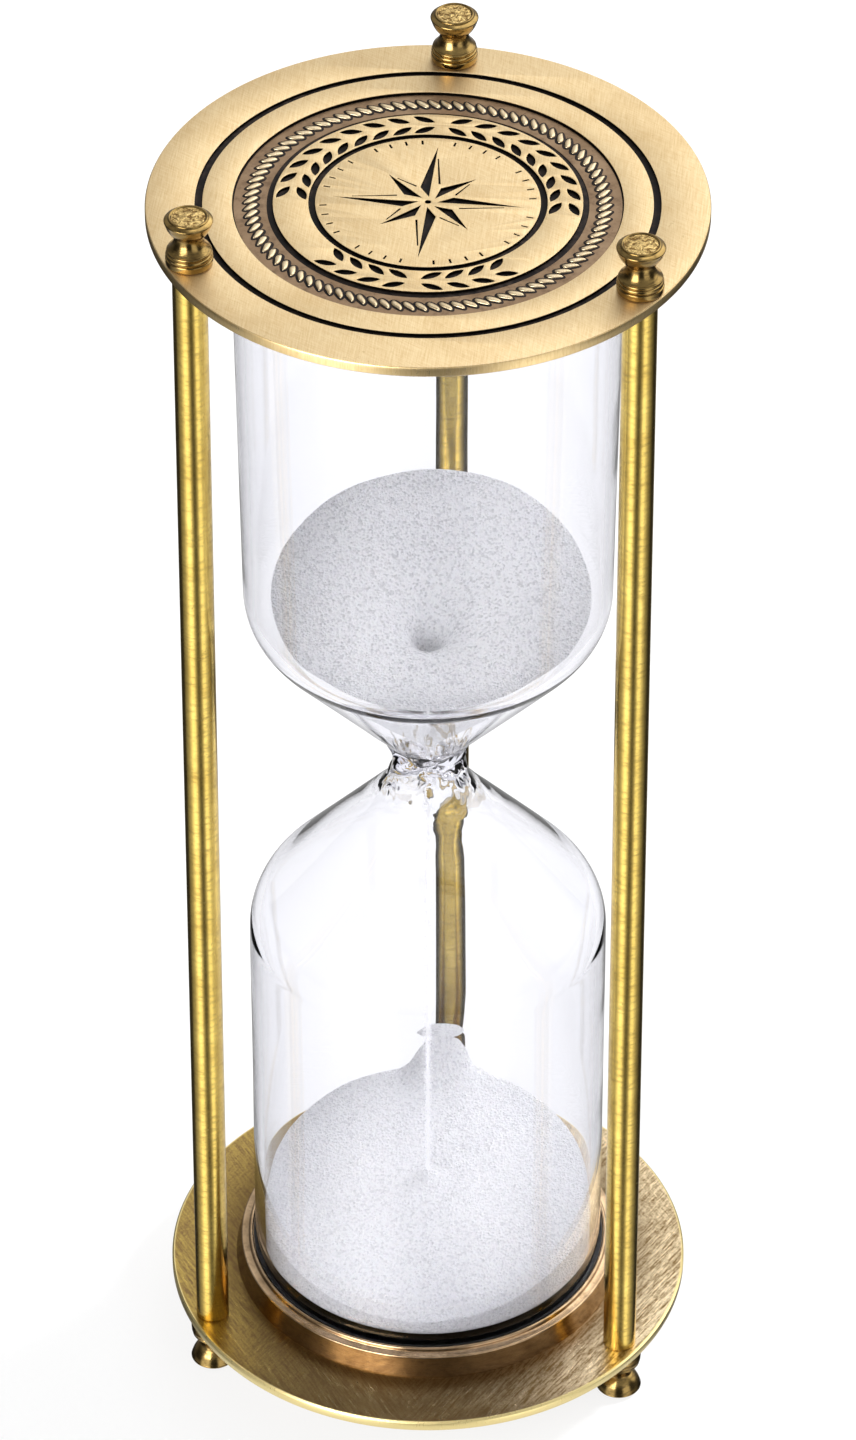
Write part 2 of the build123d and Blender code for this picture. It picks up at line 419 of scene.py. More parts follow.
def brushed_brass(name, light, deep, patina, roughness, painted_shade_level=None):
    """Flat brass with fine crossed brush lines and cloudy tarnish.

    The last argument, if given, is the depth below which the walls of the engraving are painted near black
    as shade, as (dark, bright) heights."""
    n = Nodes(name)
    lines = n.noise(1.0, 4.0, n.stretched((5200, 190, 400)), 0.65)
    crossed = n.noise(1.0, 4.0, n.stretched((3900, 230, 400), 58), 0.65)
    clouds = n.noise(42, 4.0, roughness=0.6, distortion=0.4)
    specks = n.noise(900, 2.0, roughness=0.7)
    brush = n.math("ADD", n.math("MULTIPLY", lines, 0.6), n.math("MULTIPLY", crossed, 0.4))
    colour = n.mix(n.spread(brush, 0.35, 0.66), deep, light)
    colour = n.mix(n.spread(clouds, 0.5, 0.8, 0.0, 0.45), colour, patina)
    colour = n.mix(n.spread(specks, 0.66, 0.8, 0.0, 0.5), colour, patina)
    if painted_shade_level:
        # painted shade: the walls of the engraving go near black below this height
        colour = n.mix(n.spread(n.axis("Z"), *painted_shade_level), (0.012, 0.009, 0.007), colour)
    rough = n.spread(brush, 0.3, 0.7, roughness + 0.09, roughness - 0.06)
    normal = n.bump(brush, 0.22, 0.00008)
    return n.finish(colour, rough, normal, Metallic=1.0)


def turned_brass(name, light, deep, patina, roughness, tarnish):
    """Lathe-turned brass: fine marks round the axis, tarnish in short streaks along them."""
    n = Nodes(name)
    marks = n.noise(1.0, 4.0, n.stretched((240, 240, 4200)), 0.65)
    clouds = n.noise(120, 5.0, roughness=0.65, distortion=0.6)
    streaks = n.noise(1.0, 4.0, n.stretched((420, 420, 1500)), 0.7)
    pits = n.noise(1500, 2.0, roughness=0.7)
    colour = n.mix(n.spread(clouds, 0.35, 0.7), light, deep)
    colour = n.mix(n.spread(streaks, 0.48, 0.75, 0.0, tarnish), colour, patina)
    colour = n.mix(n.spread(pits, 0.67, 0.8, 0.0, 0.8), colour, patina)
    rough = n.spread(streaks, 0.3, 0.75, roughness - 0.04, roughness + 0.12)
    normal = n.bump(marks, 0.3, 0.00006, n.bump(clouds, 0.12, 0.0002))
    return n.finish(colour, rough, normal, Metallic=1.0)


def brushed_bronze():
    """The bottom plate's upper side: short brush strokes through brown patina.

    Painted light makes it paler to the right, painted reflection of the dark ring makes it dark in front,
    and painted shade darkens it round the glass ring; it is bright along its rim."""
    n = Nodes("brushed_bronze")
    sweep = n.noise(30, 2.0)
    strokes = n.noise(1.0, 3.0, n.stretched((2600, 230, 400), 35), 0.7, 0.15)
    crossed = n.noise(1.0, 3.0, n.stretched((2800, 250, 400), -28), 0.7, 0.15)
    brush = n.mix(n.spread(sweep, 0.42, 0.58), n.grey(strokes), n.grey(crossed))
    brush = n.mix(0.25, brush, n.grey(n.noise(2600, 2.0)))
    radius = n.add("ShaderNodeVectorMath", operation="LENGTH")
    n.join(n.stretched((1, 1, 0.0001)), radius.inputs[0])
    across = n.axis("X")
    # painted light: paler to the right, standing for bright surroundings mirrored there
    light = n.mix(n.spread(across, -0.03, 0.03), (0.52, 0.37, 0.1), (1.0, 0.82, 0.54))
    colour = n.mix(n.spread(brush, 0.4, 0.62), (0.24, 0.15, 0.06), light)
    ring_shade = n.spread(radius.outputs["Value"], 0.037, 0.0455, 0.7, 0.0)
    colour = n.mix(ring_shade, colour, (0.09, 0.05, 0.018))
    # painted reflection: darker in front, standing for the dark ring mirrored there
    front = n.spread(n.axis("Y"), -0.044, -0.026, 0.85, 0.0)
    colour = n.mix(front, colour, (0.1, 0.06, 0.02))
    colour = n.mix(n.spread(radius.outputs["Value"], 0.0474, 0.0477), colour, (0.95, 0.78, 0.36))
    return n.finish(colour, n.spread(brush, 0.3, 0.7, 0.38, 0.24), n.bump(brush, 0.35, 0.0001), Metallic=1.0)


def black_enamel():
    """The black filling of the engraved lines."""
    n = Nodes("black_filling")
    grain = n.noise(700, 4.0)
    colour = n.mix(n.spread(grain, 0.4, 0.75), (0.006, 0.005, 0.005), (0.03, 0.022, 0.018))
    rough = n.spread(grain, 0.3, 0.7, 0.5, 0.75)
    return n.finish(colour, rough, n.bump(grain, 0.3, 0.0001), Specular_IOR_Level=0.12)


def hammered_brass():
    """The rough cast middle of a finial's cap: crumpled and golden, dark in its creases."""
    n = Nodes("hammered_brass")
    creases = n.noise(1300, 3.0, roughness=0.6, distortion=0.8)
    fine = n.noise(4200, 2.0)
    colour = n.mix(n.spread(creases, 0.4, 0.6), (0.22, 0.12, 0.03), (0.93, 0.68, 0.28))
    rough = n.spread(fine, 0.3, 0.7, 0.3, 0.5)
    return n.finish(colour, rough, n.bump(creases, 0.9, 0.0005, n.bump(fine, 0.2, 0.0001)), Metallic=1.0)


def rubber(name, colour):
    """Matt rubber with a faint bloom."""
    n = Nodes(name)
    grain = n.noise(900, 5.0)
    bloom = n.noise(90, 4.0)
    lighter = tuple(min(1.0, channel * 2.2 + 0.008) for channel in colour)
    mixed = n.mix(n.spread(bloom, 0.45, 0.8, 0.0, 0.6), colour, lighter)
    return n.finish(mixed, n.spread(grain, 0.3, 0.7, 0.38, 0.62), n.bump(grain, 0.25, 0.0001))


def felt():
    """Dark pressed felt."""
    n = Nodes("pressed_felt")
    fibres = n.noise(1600, 6.0, roughness=0.8, distortion=1.5)
    colour = n.mix(n.spread(fibres, 0.3, 0.7), (0.015, 0.015, 0.016), (0.09, 0.085, 0.08))
    return n.finish(colour, n.spread(fibres, 0.3, 0.7, 0.8, 0.98), n.bump(fibres, 0.7, 0.0003))


def steel():
    """Threaded steel rod with a fine thread in the surface."""
    n = Nodes("rod_steel")
    wave = n.add("ShaderNodeTexWave", bands_direction="Z")
    wave.inputs["Scale"].default_value = THREADS_PER_METRE / math.tau
    wave.inputs["Distortion"].default_value = 0.2
    n.join(n.coordinates, wave.inputs["Vector"])
    stain = n.noise(300, 4.0)
    colour = n.mix(n.spread(stain, 0.4, 0.75), (0.52, 0.52, 0.53), (0.24, 0.22, 0.2))
    rough = n.spread(stain, 0.3, 0.7, 0.3, 0.5)
    return n.finish(colour, rough, n.bump(wave.outputs["Fac"], 0.6, 0.0003), Metallic=1.0)


def clear_glass():
    """Blown clear glass: faintly wavy, knotty round the worked waist, with a trace of haze."""
    n = Nodes("clear_glass")
    waves = n.noise(24, 2.0)
    seeds = n.noise(420, 2.0)
    colour = n.mix(n.spread(waves, 0.3, 0.7), (0.985, 0.985, 0.995), (0.965, 0.968, 0.985))
    rough = n.spread(seeds, 0.72, 0.85, 0.0, 0.04)
    off_waist = n.math("ABSOLUTE", n.math("SUBTRACT", n.axis("Z"), glass_low + neck_height * MM))
    knots = n.noise(1.0, 1.0, n.stretched((190, 190, 110)), 0.4, 1.2)
    worked = n.math("MULTIPLY", knots, n.spread(off_waist, 0.002, 0.008, 1.0, 0.0))
    normal = n.bump(worked, 1.0, 0.0016, n.bump(waves, 0.12, 0.0012))
    tint = n.add("ShaderNodeVolumeAbsorption")
    tint.inputs["Color"].default_value = (0.8, 0.8, 0.87, 1.0)
    tint.inputs["Density"].default_value = 80.0
    n.join(tint.outputs["Volume"], n.tree.nodes["Material Output"].inputs["Volume"])
    return n.finish(colour, rough, normal, IOR=1.36, Transmission_Weight=1.0)


def sand_material():
    """Fine white quartz sand: grains of different whites, with the darker grains painted paler in the lower
    bulb as painted light, and a share of pure white grains as painted glints.
    """
    n = Nodes("white_sand")
    grains = n.add("ShaderNodeTexVoronoi")
    grains.inputs["Scale"].default_value = 2600
    n.join(n.coordinates, grains.inputs["Vector"])
    shade = n.add("ShaderNodeSeparateColor")
    n.join(grains.outputs["Color"], shade.inputs["Color"])
    clumps = n.noise(260, 5.0, roughness=0.7)
    drift = n.noise(45, 3.0)
    # painted light: the darker grains are paler in the lower bulb, which gets less light
    dark_grain_painted_paler_low = n.mix(n.spread(n.axis("Z"), 0.06, 0.13), (0.8, 0.8, 0.815), (0.7, 0.7, 0.715))
    colour = n.mix(n.spread(shade.outputs["Red"], 0.0, 0.5), dark_grain_painted_paler_low, (0.98, 0.98, 0.99))
    # painted glints: a share of the grains is pure white, standing for sparkle
    colour = n.mix(n.spread(shade.outputs["Green"], 0.84, 0.9), colour, (1.0, 1.0, 1.0))
    colour = n.mix(n.spread(drift, 0.4, 0.75, 0.0, 0.25), colour, (0.88, 0.88, 0.9))
    rough = n.spread(shade.outputs["Blue"], 0.0, 0.3, 0.12, 0.6)
    normal = n.bump(grains.outputs["Distance"], 0.8, 0.0005, n.bump(clumps, 0.3, 0.0004))
    return n.finish(colour, rough, normal)


def falling_sand():
    """Falling grains, which glow a little, as if light came through them."""
    n = Nodes("falling_sand")
    shade = n.noise(1500, 2.0)
    colour = n.mix(n.spread(shade, 0.3, 0.7), (0.93, 0.93, 0.95), (1.0, 1.0, 1.0))
    rough = n.spread(shade, 0.3, 0.7, 0.5, 0.8)
    n.shader.inputs["Emission Color"].default_value = (0.98, 0.98, 1.0, 1.0)
    return n.finish(colour, rough, n.bump(shade, 0.2, 0.0001), Emission_Strength=0.15)


def floor_material():
    """A plain white studio floor, which glows so that shadows on it stay faint."""
    n = Nodes("studio_floor")
    grain = n.noise(30, 4.0)
    colour = n.mix(n.spread(grain, 0.3, 0.7), (0.122, 0.122, 0.124), (0.13, 0.13, 0.13))
    n.shader.inputs["Emission Color"].default_value = (1.0, 1.0, 1.0, 1.0)
    rough = n.spread(grain, 0.3, 0.7, 0.75, 0.85)
    return n.finish(colour, rough, n.bump(grain, 0.02, 0.0005), Emission_Strength=0.83)


# ---- plates ----

def circle(radius, count=240):
    """A closed circle."""
    return arc((0, 0), radius, 0, 360 - 360 / count, count - 1)


def polar(radius, degrees):
    """A point at this radius and angle."""
    angle = math.radians(degrees)
    return (radius * math.cos(angle), radius * math.sin(angle))


def moved(x, y, turn, centre):
    """A point turned by an angle and then moved to a centre."""
    cosine, sine = math.cos(turn), math.sin(turn)
    return (centre[0] + x * cosine - y * sine, centre[1] + x * sine + y * cosine)


def leaf_outline(radius, degrees, tilt):
    """A pointed leaf on the wreath."""
    half = leaf_length / 2
    side = bow((-half, 0), (0, leaf_width / 2), (half, 0), 10)
    loop = side + [(x, -y) for x, y in reversed(side[1:-1])]
    turn = math.radians(degrees + 90 + tilt)
    return [moved(x, y, turn, polar(radius, degrees)) for x, y in loop]


def wreath():
    """Pairs of leaves along a long branch and a short one, growing away from each branch's middle."""
    loops = []
    for middle_angle, pairs in branches.items():
        for index in range(pairs):
            for side in (-1, 1):
                angle = middle_angle + side * (leaf_gap + index * leaf_step)
                loops.append(leaf_outline(leaf_branch_radius + leaf_row_offset, angle, -side * leaf_tilt))
                loops.append(leaf_outline(leaf_branch_radius - leaf_row_offset, angle, side * leaf_tilt))
    return loops


def compass_rose():
    """Eight points, each with a dark half and an outlined bright half, and a scale of ticks."""
    loops = [circle(rose_centre_radius, 24)]
    for point in range(8):
        angle = 45.0 * point
        tip = Vector(polar(rose_long_point if point % 2 == 0 else rose_short_point, angle))
        valley = Vector(polar(rose_valley, angle - 22.5))
        loops.append([polar(rose_inner, angle), tuple(tip), polar(rose_valley, angle + 22.5)])
        along = valley - tip
        inwards = Vector((-along.y, along.x)).normalized()
        if inwards.dot(tip) > 0:
            inwards = -inwards
        start, end = (tip + along * share for share in rose_line_run)
        thin, thick = (inwards * width for width in rose_line_widths)
        loops.append([tuple(start), tuple(end), tuple(end + thick), tuple(start + thin)])
    inner, outer = rose_ticks
    inner_half, outer_half = rose_tick_half_widths
    for tick in range(rose_tick_count):
        angle = 360.0 / rose_tick_count * tick
        if tick % 5:    # no tick beyond the tip of a point
            loops.append([
                polar(inner, angle - inner_half), polar(outer, angle - outer_half),
                polar(outer, angle + outer_half), polar(inner, angle + inner_half),
            ])
    return loops


def plate_loops():
    """Every loop of the engraved face, from the rim inwards."""
    loops = [circle(face_radius)]
    for radius, width in circle_grooves.items():
        loops += [circle(radius + width / 2), circle(radius - width / 2)]
    loops += [circle(radius) for radius in rope_recess]
    return loops + wreath() + compass_rose()


def rope_border(name, level, flip, material, size, low, high):
    """Slightly S-shaped links laid slantwise round the recessed band, domed on top."""
    length, width = size
    sign = -1 if flip else 1
    around = 18
    vertices, faces = [], []
    domes = ((1.0, 0.0), (1.0, 0.45), (0.86, 0.8), (0.5, 0.97))    # share of outline, share of height
    for link in range(rope_links):
        degrees = 360.0 * link / rope_links
        centre = polar(rope_radius, degrees)
        turn = math.radians(degrees - 90 - rope_link_tilt)
        first = len(vertices)

        def place(x, y, share):
            px, py = moved(x, y, turn, centre)
            vertices.append((sign * px, py, sign * (low + (high - low) * share) + level / MM))

        for scale, share in domes:
            for corner in range(around):
                angle = math.tau * corner / around
                along = scale * length / 2 * math.cos(angle)
                across = scale * width / 2 * math.sin(angle) * (1 + rope_link_swell * math.cos(angle))
                curl = rope_link_curl * math.sin(1.6 * math.pi * along / length)
                place(along, across + curl, share)
        place(0, 0, 1.0)
        top = len(vertices) - 1
        for ring in range(len(domes) - 1):
            for corner in range(around):
                a = first + ring * around + corner
                b = first + ring * around + (corner + 1) % around
                faces.append((a, b, b + around, a + around))
        last = first + (len(domes) - 1) * around
        for corner in range(around):
            faces.append((last + corner, last + (corner + 1) % around, top))
        faces.append(tuple(first + corner for corner in reversed(range(around))))
    return new_object(name, mesh_from(name, vertices, faces), material, 60.0)


def plate(node, level, flip, materials):
    """One engraved plate: body, black filling, rope border and engraved face."""
    body_metal, face_metal, band_metal, rope_metal, filling = materials
    floor = plate_thickness - engraving_depth
    seat = floor - filling_thickness
    radius = plate_radius / MM
    place = {"level": level, "flip": flip, "segments": 256}
    worn_edge = [
        (radius - 0.12, plate_thickness - 0.12), (face_radius - 0.1, plate_thickness - 0.08),
        (seat_radius, plate_thickness - 0.15),
    ]
    body = [
        (0, 0), (radius - plate_edge, 0), (radius, plate_edge), (radius, plate_thickness - plate_edge),
        *worn_edge, (seat_radius, seat), (0, seat),
    ]
    finished(turned(node + "_body", body, body_metal, **place), node)
    fill = [(0, seat), (filling_radius, seat), (filling_radius, floor), (0, floor)]
    finished(turned(node + "_filling", fill, filling, level=level, flip=flip), node)
    inner, outer = rope_bed
    bed_top = floor + rope_bed_thickness
    bed = [(inner, floor), (outer, floor), (outer, bed_top), (inner, bed_top)]
    finished(turned(node + "_rope_bed", bed, band_metal, **place), node)
    shade = (rope_shade_size, floor + 0.05, floor + 0.2)
    finished(rope_border(node + "_rope_shade", level, flip, filling, *shade), node)
    link = (rope_link_size, bed_top, floor + 0.42)
    finished(rope_border(node + "_rope_links", level, flip, rope_metal, *link), node)
    heights = (floor, plate_thickness)
    face = filled_sheet(node + "_face", plate_loops(), *heights, engraved_edge, face_metal, flip)
    for vertex in face.data.vertices:
        vertex.co.z += level
    finished(face, node)


# ---- pillars and finials ----

def pillar(side, metal):
    """A brass tube with softened ends."""
    bottom, top = levels("pillar_" + side)
    length = (top - bottom) / MM
    end = pillar_radius - pillar_edge
    step = (length - 2 * pillar_edge) / pillar_rings
    outline = [(pillar_bore, 0), (end, 0)]
    outline += [(pillar_radius, pillar_edge + step * ring) for ring in range(pillar_rings + 1)]
    outline += [(end, length), (pillar_bore, length)]
    piece = turned("pillar_tube_" + side, outline, metal, pillar_centres[side], bottom, segments=96)
    finished(piece, "pillar_" + side)


def finial_outline():
    """Ringed bell, waist and cup-shaped cap with a raised lip round its dish."""
    base, neck, cap = finial_base, finial_neck, finial_cap
    edge, lip, top = finial_cap_edge, finial_lip, finial_height
    outline = [(finial_bore, 0), (base - 0.35, 0)]
    outline += bow((base - 0.35, 0), (base - 0.08, 0.2), (base, 0.5), 5)[1:]
    outline += [(base, 1.25), (base - 0.06, 1.36), (base - 0.2, 1.42), (base - 0.2, 1.5)]
    outline += bow((base - 0.2, 1.5), (base - 0.06, 1.8), (base - 0.16, 2.2), 6)
    outline += [(base - 0.35, 2.3), (base - 0.36, 2.38)]
    outline += bow((base - 0.36, 2.38), (base - 0.22, 2.6), (base - 0.32, 2.88), 6)
    outline += [(base - 0.45, 2.95)]
    outline += bow((base - 0.4, 3.05), (neck + 0.42, 4.1), (neck, 5.3), 14)
    outline += bow((neck, 5.5), (cap - 0.72, 6.75), (cap - 0.07, edge - 0.2), 14)
    outline += bow((cap - 0.07, edge - 0.2), (cap, edge), (cap - 0.17, edge + 0.22), 8)[1:]
    outline += bow((cap - 0.17, edge + 0.22), (cap - 0.5, top - 0.42), (lip + 0.2, top - 0.36), 5)[1:]
    outline += bow((lip + 0.14, top - 0.3), (lip - 0.02, top - 0.012), (lip - 0.28, top - 0.09), 7)
    outline += [(lip - 0.43, top - 0.22), (lip - 0.45, top - 0.6), (0, top - 0.6)]
    return outline + [(0, finial_bore_depth), (finial_bore, finial_bore_depth)]


def dish_outline():
    """The rough slightly domed middle of the cap."""
    edge, top = finial_dish, finial_height
    dome = bow((edge, top - 0.2), (1.9, top - 0.1), (0.7, top - 0.03), 12)
    return [(0, top - 0.55), (edge, top - 0.55)] + dome + [(0, top - 0.02)]


def finials(side, metal, rough_metal):
    """The finial on the top plate and the one under the bottom plate."""
    centre = pillar_centres[side]
    for place, level, flip in (("top", top_plate_top, False), ("bottom", bottom_plate_low, True)):
        node = place + "_finial_" + side
        name = place + "_turned_finial_" + side
        body = turned(name, finial_outline(), metal, centre, level, flip, 96, sharp=28.0)
        finished(body, node)
        dish = turned(place + "_finial_dish_" + side, dish_outline(), rough_metal, centre, level, flip, 64)
        finished(dish, node)


# ---- seats of the glass ----

def glass_ring(node, glass_radius, level, flip, metal):
    """The stepped ring round the end of the glass."""
    bore = glass_radius + ring_clearance
    outer = bore + ring_wall
    outline = [(bore, 0), (outer, 0), (outer, 0.4), (outer - 0.9, 3.8)]
    outline += arc((outer - 1.2, 3.9), 0.3, 0, 90, 5)
    outline += [(bore + 1.05, 4.2)] + bow((bore + 1.0, 4.22), (bore + 0.88, 4.3), (bore + 0.85, 4.45), 4)
    outline += arc((bore + 0.45, 4.6), ring_bead, 0, 180, 10)
    outline += [(bore, 4.6)]
    piece = turned(node + "_turned", outline, metal, level=level, flip=flip, segments=256)
    finished(piece, node)


def gasket(node, glass_radius, level, flip, material):
    """The black rubber ring between the ring's bore and the rounded end of the glass."""
    outer = glass_radius + ring_clearance - 0.01
    flat = glass_radius - glass_end_rounding
    round_centre = (flat, pad_thickness + glass_end_rounding)
    outline = arc(round_centre, glass_end_rounding + gasket_gap, -90, -24.5, 16)
    outline += [(outer - 0.25, 4.5), (outer - 0.2, 4.88), (outer, 4.9), (outer, 0), (flat, 0)]
    finished(turned(node + "_rubber", outline, material, level=level, flip=flip), node)


# ---- glass ----

def glass_corners():
    """Corners of the outside of the vessel and the levels of its shoulders, from its lower end."""
    slope = math.tan(cone_angle)
    apex = neck_radius - neck_rounding * (1 / math.cos(cone_angle) - 1)
    lower = neck_height - (lower_radius - apex) / slope
    upper = neck_height + (upper_shoulder_radius - apex) / slope
    corners = [
        (0, 0), (lower_radius, 0), (lower_radius, lower), (apex, neck_height),
        (upper_shoulder_radius, upper), (upper_end_radius, glass_length), (0, glass_length),
    ]
    return corners, lower, upper


def outside_outline():
    """Outside of the vessel from its lower end to its upper end."""
    corners, _, _ = glass_corners()
    radii = [glass_end_rounding, shoulder_rounding, neck_rounding, shoulder_rounding, glass_end_rounding]
    return rounded(corners, radii, 20)


def inside_outline(gap, throat, throat_roundings):
    """Inside of the vessel from its lower end to its upper end, drawn in by a gap.

    throat lists the corners between the two cones, as (radius, height above the waist)."""
    _, lower, upper = glass_corners()
    wall = glass_wall + gap
    end = glass_end_wall + gap
    shift = wall * math.tan(cone_angle / 2)
    corners = [
        (0, end), (lower_radius - wall, end), (lower_radius - wall, lower - shift),
        *[(radius - gap, neck_height + height) for radius, height in throat],
        (upper_shoulder_radius - wall, upper + shift), (upper_end_radius - wall, glass_length - end),
        (0, glass_length - end),
    ]
    end_rounding = glass_end_rounding - glass_wall
    inner_shoulder = shoulder_rounding - glass_wall
    radii = [end_rounding, inner_shoulder, *throat_roundings, inner_shoulder, end_rounding]
    return rounded(corners, radii, 20)


def blown(x, y, z):
    """Small unevenness of blown glass, strongest round the worked waist."""
    radius = math.hypot(x, y)
    if radius < 1.2:
        return x, y, z
    angle = math.atan2(y, x)
    waist = math.exp(-((z - neck_height) / 6.5) ** 2)
    ripple = 0.03 * math.sin(3 * angle + 0.5 * z) + 0.028 * math.sin(6 * angle - 1.3 * z)
    swell = 0.0035 * noise.noise((x * 0.05, y * 0.05, z * 0.035))
    scale = 1 + swell + ripple * waist
    return x * scale, y * scale, z


def glass_vessel(material):
    """The vessel with its inside and outside surfaces and its filling hole."""
    outside = [(fill_hole_radius, 0)] + outside_outline()[1:]
    inside = inside_outline(0, glass_throat, [glass_throat_rounding] * len(glass_throat))
    inside = [(fill_hole_radius, glass_end_wall)] + inside[1:]
    loop = subdivided(outside, glass_mesh_step) + subdivided(list(reversed(inside)), glass_mesh_step)
    piece = turned("blown_glass", loop, material, level=glass_low, segments=256, warp=blown, sharp=70.0)
    finished(piece, "glass_vessel")


# ---- sand ----

def wall_radius(outline, height):
    """Radius of a rising outline at a height."""
    for (r0, z0), (r1, z1) in zip(outline, outline[1:]):
        if z0 <= height <= z1 and z1 > z0:
            return r0 + (r1 - r0) * (height - z0) / (z1 - z0)
    return 0.0


def sand_body(name, surface, outline, end_level, end_radius, material):
    """Sand from its free surface down along the glass to a level where it ends."""
    segments, rings, sides = 288, 90, 60
    vertices, faces = [], []
    columns = []
    for index in range(segments):
        angle = math.tau * index / segments
        low, high = 1.0, upper_end_radius
        for _ in range(30):
            radius = (low + high) / 2
            height = surface(radius * math.cos(angle), radius * math.sin(angle))
            if radius < wall_radius(outline, height):
                low = radius
            else:
                high = radius
        rim = low
        rim_height = surface(rim * math.cos(angle), rim * math.sin(angle))
        column = []
        for ring in range(rings + 1):
            radius = rim * ring / rings
            column.append((radius, surface(radius * math.cos(angle), radius * math.sin(angle))))
        for side in range(1, sides + 1):
            share = side / sides
            height = rim_height + (end_level - rim_height) * math.sin(share * math.pi / 2)
            radius = end_radius if side == sides else wall_radius(outline, height)
            column.append((radius, height))
        column.append((0, end_level))
        columns.append([(r * math.cos(angle), r * math.sin(angle), z + glass_low / MM) for r, z in column])
    rows = len(columns[0])
    for column in columns:
        vertices += column
    for index in range(segments):
        following = (index + 1) % segments
        for row in range(rows - 1):
            a, b = index * rows + row, index * rows + row + 1
            faces.append((a, b, following * rows + row + 1, following * rows + row))
    return new_object(name, mesh_from(name, vertices, faces), material, 50.0)


def grainy(x, y):
    """Unevenness of a poured surface."""
    coarse = noise.noise((x * 0.09, y * 0.09, 2.0)) * 0.35
    fine = noise.noise((x * 0.9, y * 0.9, 5.0)) * 0.07 + noise.noise((x * 2.3, y * 2.3, 9.0)) * 0.05
    return coarse + fine


def upper_surface(x, y):
    """Surface of the upper sand above the glass's lower end: a tilted funnel with a crater."""
    radius = math.hypot(x, y)
    funnel = 3.0 * (1 - math.exp(-(radius / 12.0) ** 1.6))
    crater = -7.0 * math.exp(-(radius / 3.1) ** 1.7)
    return upper_sand_level + 0.3 * y + funnel + crater + grainy(x, y)


def lower_surface(x, y):
    """Surface of the lower sand: a low mound where the stream lands and a crest on the back wall."""
    radius = math.hypot(x, y)
    landing = 1.5 * math.exp(-(radius / 3.4) ** 2)
    landing += 0.5 * math.cos(radius * 0.9) * math.exp(-(radius / 8.0) ** 2)
    spread = 1 + 0.25 * noise.noise((x * 0.35, y * 0.35, 1.0))
    crest = 7.5 * math.exp(-(x / (6.0 * spread)) ** 4) * max(0.0, (y - 20.0) / 10.5) ** 3
    slump = -1.1 * math.exp(-((x + 9 + 0.35 * y) / 5.0) ** 2) * math.exp(-((y + 14) / 13.0) ** 2)
    dome = 1.4 * (1 - (radius / 30.0) ** 2)
    fall = -3.6 * max(0.0, (-y - 6.0) / 24.5) ** 1.5
    return lower_sand_level + 0.1 * y + dome + fall + landing + crest + slump + grainy(x, y)


def sand_stream(material):
    """The falling thread: many separate grains round a thin wavering core."""
    rng = random.Random(7)
    start = neck_height + throat_half_length - 0.5
    end = lower_surface(0, 0) + 0.3
    vertices, faces = [], []

    def add_grain(x, y, z, size):
        first = len(vertices)
        stretch = rng.uniform(1.0, 2.2)
        for dx, dy, dz in ((1, 0, 0), (0, 1, 0), (-1, 0, 0), (0, -1, 0), (0, 0, stretch), (0, 0, -stretch)):
            vertices.append((x + dx * size, y + dy * size, z + dz * size + glass_low / MM))
        for a, b in ((0, 1), (1, 2), (2, 3), (3, 0)):
            faces.append((first + a, first + b, first + 4))
            faces.append((first + b, first + a, first + 5))

    def wander(z):
        return 0.22 * noise.noise((z * 0.11, 3.0, 0.0)), 0.22 * noise.noise((z * 0.11, 9.0, 0.0))

    for _ in range(stream_grains):
        z = start + (end - start) * rng.random()
        fall = (start - z) / (start - end)
        width = stream_width + stream_widening * fall + 0.1 * noise.noise((z * 0.5, 0, 0))
        wx, wy = wander(z)
        angle, reach = rng.random() * math.tau, abs(rng.gauss(0, width))
        reach = min(reach, stream_limits[0 if z > neck_height - 6 else 1])
        add_grain(wx + reach * math.cos(angle), wy + reach * math.sin(angle), z, rng.uniform(*grain_sizes))
    return new_object("falling_grains", mesh_from("falling_grains", vertices, faces), material, 80.0)


def sand(material):
    """The sand in both bulbs and the stream between them."""
    funnel_end = ((throat_radius, -throat_half_length), (throat_radius, throat_half_length))
    outline = inside_outline(sand_gap, funnel_end, [funnel_rounding] * len(funnel_end))
    throat_end = neck_height + throat_half_length + 0.6
    upper = sand_body("upper_sand_heap", upper_surface, outline, throat_end, 0.6, material)
    finished(upper, "upper_sand")
    floor_level = glass_end_wall + sand_gap
    flat_radius = lower_radius - glass_wall - sand_gap - (glass_end_rounding - glass_wall)
    lower = sand_body("lower_sand_heap", lower_surface, outline, floor_level, flat_radius, material)
    finished(lower, "lower_sand")
    finished(sand_stream(falling_sand()), "sand_stream")


# ---- CAD nodes that keep their shape ----

def dress(node, material):
    """Gives a CAD node a better material."""
    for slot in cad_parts[node].material_slots:
        slot.material = material


# ---- studio ----

# brightness round the compass, as (degrees from the front, brightness)
LOW_BANDS = (
    (-180, 0.4), (-160, 0.4), (-147, 0.03), (-104, 0.03), (-88, 0.3), (-70, 0.5), (-50, 1.25), (-38, 2.1),
    (-22, 1.9), (-8, 0.6), (4, 0.12), (15, 0.12), (27, 0.5), (40, 1.7), (52, 1.7), (66, 0.9), (86, 0.35),
    (104, 0.15), (116, 0.03), (150, 0.03), (162, 0.4), (180, 0.4),
)
HORIZON_BANDS = (
    (-180, 0.5), (-120, 0.15), (-88, 0.04), (-62, 0.08), (-48, 1.5), (-20, 1.5), (-6, 0.05), (22, 0.05),
    (34, 1.3), (56, 1.3), (70, 0.06), (120, 0.15), (180, 0.5),
)
HIGH_BANDS = (
    (-180, 1.15), (-145, 0.45), (-90, 0.35), (-20, 0.45), (20, 0.45), (90, 0.7), (125, 2.2), (160, 2.7),
    (180, 1.15),
)
KEY_DIRECTION = (0.85, 0.5, 0.5)
KEY_STRENGTH = 2.0


